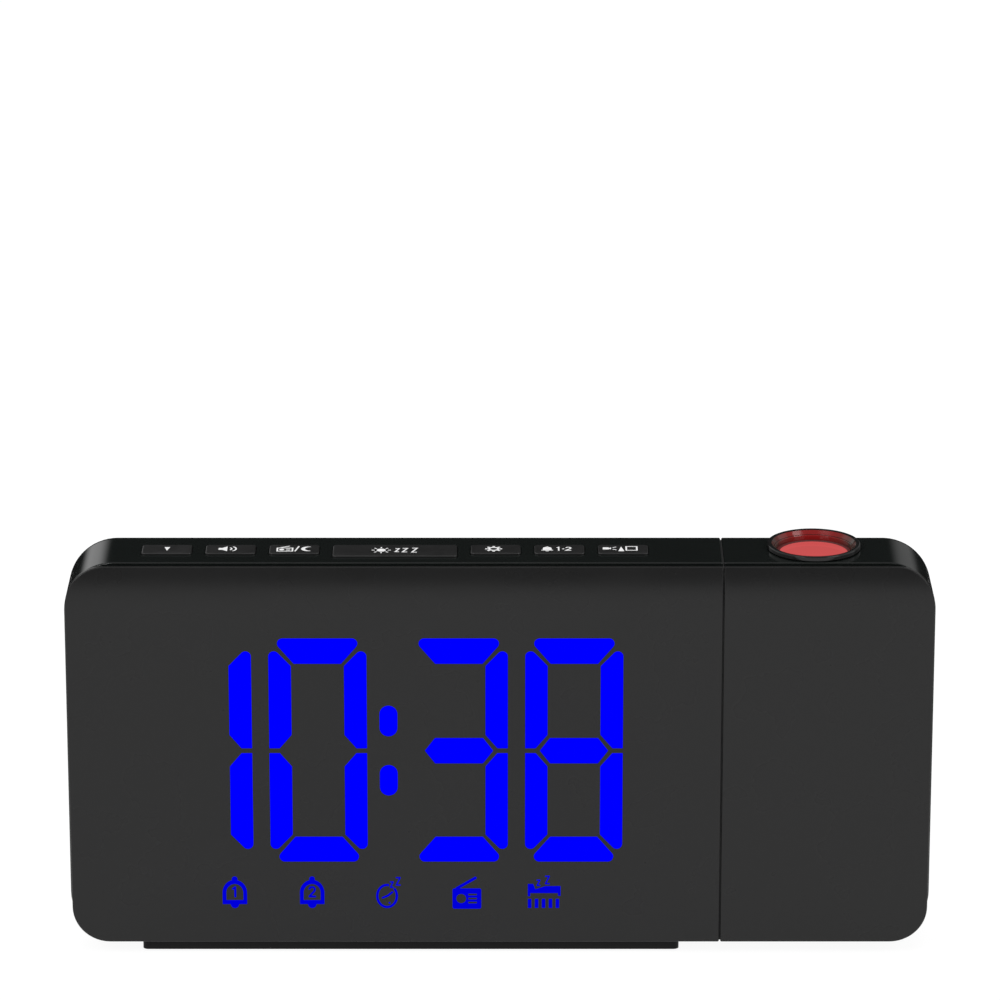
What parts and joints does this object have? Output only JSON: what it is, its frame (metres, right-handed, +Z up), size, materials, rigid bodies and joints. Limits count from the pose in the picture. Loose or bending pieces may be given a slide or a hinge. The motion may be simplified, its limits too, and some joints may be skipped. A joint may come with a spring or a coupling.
{
  "type": "projection alarm clock",
  "caption": "Digital projection alarm clock: wide display case on a foot, with a swivelling projector head, focus ring and press keys.",
  "frame": {"origin": "on the surface that the clock stands on, under the middle of its bounding box", "axes": "+X to the viewer's right, along the display and towards the projector head; +Y backwards from the display face; +Z up"},
  "size_m": [0.189, 0.038, 0.0913],
  "materials": {
    "cover_dark": "satin moulded plastic, dark grey",
    "segment_dark": "smoked plastic diffuser, unlit",
    "digit_blue": "smoked plastic diffuser, lit pure blue",
    "icon_blue": "smoked plastic diffuser, lit pure blue",
    "shell_black": "polished moulded plastic, black",
    "shell_matte": "fine textured plastic, black",
    "key_dark": "satin moulded plastic, dark grey",
    "foot_black": "satin moulded plastic, black",
    "pad_rubber": "soft rubber",
    "grommet_rubber": "soft rubber",
    "ring_black": "polished moulded plastic, black",
    "carrier_black": "dull black plastic",
    "lens_red": "clear lens lit red from below",
    "lens_clear": "clear moulded lens",
    "lcd_glass": "liquid crystal panel",
    "led_red": "red epoxy",
    "led_chip": "chip package",
    "reflector_white": "white reflective plastic",
    "board_green": "solder resist over laminate",
    "component_black": "moulded component plastic",
    "plunger_white": "natural plastic",
    "plug_white": "natural plastic",
    "bush_natural": "natural acetal",
    "hub_grey": "filled engineering plastic",
    "optics_black": "dull black plastic",
    "jack_black": "moulded component plastic",
    "lead_black": "soft insulated lead",
    "screw_steel": "zinc-plated steel",
    "spring_steel": "spring steel",
    "socket_steel": "plated folded steel",
    "cell_steel": "stainless steel can",
    "contact_nickel": "nickel-plated brass",
    "speaker_metal": "pressed steel, painted",
    "speaker_paper": "pressed paper"
  },
  "bodies": {
    "case": {"display_cover": "cover_dark", "lit_segments": "digit_blue", "dark_segments": "segment_dark", "indicator_icons": "icon_blue", "reflector_block": "reflector_white", "display_board": "board_green", "display_leds": "led_chip", "main_case": "shell_black", "case_screws": "screw_steel", "main_board": "board_green", "board_components": "component_black", "board_screws": "screw_steel", "button_board": "board_green", "button_switches": "component_black", "speaker_basket": "speaker_metal", "speaker_cone": "speaker_paper", "power_jack": "jack_black", "usb_socket": "socket_steel", "aerial_grommet": "grommet_rubber", "coin_cell": "cell_steel", "cell_contacts": "contact_nickel", "foot": "foot_black", "foot_pads": "pad_rubber", "foot_screws": "screw_steel", "hub_bush": "bush_natural", "case_lead": "lead_black"},
    "head": {"head_cover": "cover_dark", "head_case": "shell_black", "head_case_screws": "screw_steel", "hub": "hub_grey", "hub_screws": "screw_steel", "hub_clip": "spring_steel", "spring_washer": "spring_steel", "guide_pins": "spring_steel", "optics_frame": "optics_black", "led_board": "board_green", "projector_led": "led_red", "condenser_lens": "lens_clear", "lcd_panel": "lcd_glass", "head_screws": "screw_steel", "head_lead": "lead_black", "head_plug": "plug_white"},
    "cell_door": {"battery_door": "shell_matte"},
    "focus_ring_body": {"focus_ring": "ring_black"},
    "lens_body": {"lens_carrier": "carrier_black", "projection_lens": "lens_red"},
    "down_button": {"key_down": "key_dark", "plunger_down": "plunger_white"},
    "volume_button": {"key_volume": "key_dark", "plunger_volume": "plunger_white"},
    "radio_button": {"key_radio": "key_dark", "plunger_radio": "plunger_white"},
    "snooze_button": {"key_snooze": "key_dark", "plunger_snooze": "plunger_white"},
    "set_button": {"key_set": "key_dark", "plunger_set": "plunger_white"},
    "alarm_button": {"key_alarm": "key_dark", "plunger_alarm": "plunger_white"},
    "project_button": {"key_project": "key_dark", "plunger_project": "plunger_white"}
  },
  "joints": [
    {"name": "projector_swivel", "type": "hinge", "parent": "case", "child": "head", "pos_m": [0.0484, -0.0065, 0.0465], "axis": [1, 0, 0], "range_deg": [-90, 90]},
    {"name": "focus_turn", "type": "hinge", "parent": "head", "child": "focus_ring_body", "pos_m": [0.0684, -0.0057, 0.0901], "axis": [0, 0, 1], "range_deg": [-60, 60]},
    {"name": "lens_slide", "type": "slide", "parent": "head", "child": "lens_body", "axis": [0, 0, 1], "range_m": [-0.0007, 0.0007]},
    {"name": "cell_door_out", "type": "slide", "parent": "case", "child": "cell_door", "axis": [0, 1, 0], "range_m": [0, 0.02]},
    {"name": "down_press", "type": "slide", "parent": "case", "child": "down_button", "axis": [0, 0, -1], "range_m": [0, 0.0004], "stiffness_N_per_m": 150, "springref_m": -0.002},
    {"name": "volume_press", "type": "slide", "parent": "case", "child": "volume_button", "axis": [0, 0, -1], "range_m": [0, 0.0004], "stiffness_N_per_m": 150, "springref_m": -0.002},
    {"name": "radio_press", "type": "slide", "parent": "case", "child": "radio_button", "axis": [0, 0, -1], "range_m": [0, 0.0004], "stiffness_N_per_m": 150, "springref_m": -0.002},
    {"name": "snooze_press", "type": "slide", "parent": "case", "child": "snooze_button", "axis": [0, 0, -1], "range_m": [0, 0.0004], "stiffness_N_per_m": 150, "springref_m": -0.002},
    {"name": "set_press", "type": "slide", "parent": "case", "child": "set_button", "axis": [0, 0, -1], "range_m": [0, 0.0004], "stiffness_N_per_m": 150, "springref_m": -0.002},
    {"name": "alarm_press", "type": "slide", "parent": "case", "child": "alarm_button", "axis": [0, 0, -1], "range_m": [0, 0.0004], "stiffness_N_per_m": 150, "springref_m": -0.002},
    {"name": "project_press", "type": "slide", "parent": "case", "child": "project_button", "axis": [0, 0, -1], "range_m": [0, 0.0004], "stiffness_N_per_m": 150, "springref_m": -0.002}
  ],
  "couplings": [
    {"joint": "focus_turn", "follows": "lens_slide", "rad_per_m": 1495}
  ]
}
